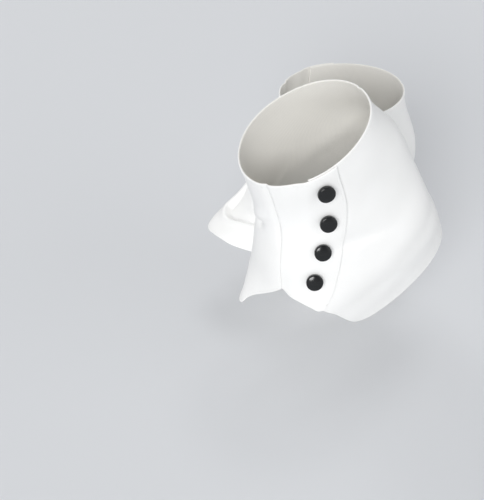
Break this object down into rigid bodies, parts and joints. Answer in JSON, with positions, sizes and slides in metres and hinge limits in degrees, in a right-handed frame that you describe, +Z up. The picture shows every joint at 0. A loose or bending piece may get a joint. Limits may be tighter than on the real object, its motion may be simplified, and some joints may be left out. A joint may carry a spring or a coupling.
{
  "type": "pair of button spats",
  "caption": "Pair of short white button spats as worn: smooth coated cloth ankle covers, open at top and foot, pointed over the instep, lapped and closed with black domed buttons.",
  "frame": {"origin": "middle of the wearer's left ankle, inside the left spat, where that ankle holds it up", "axes": "+Z up; -Y the way the wearer faces, halfway between the two feet; +X towards the wearer's left"},
  "size_m": [0.1912, 0.1923, 0.2336],
  "materials": {
    "white_cloth": "smooth white leather-look coated cloth with a soft gloss",
    "black_button": "glossy black dome with a low rim"
  },
  "bodies": {
    "root": {"left_inner_panel": "white_cloth", "left_flap_panel": "white_cloth", "left_back_panel": "white_cloth", "left_button_1": "black_button", "left_button_2": "black_button", "left_button_3": "black_button", "left_button_4": "black_button", "right_inner_panel": "white_cloth", "right_flap_panel": "white_cloth", "right_back_panel": "white_cloth", "right_button_1": "black_button", "right_button_2": "black_button", "right_button_3": "black_button", "right_button_4": "black_button"}
  },
  "joints": []
}
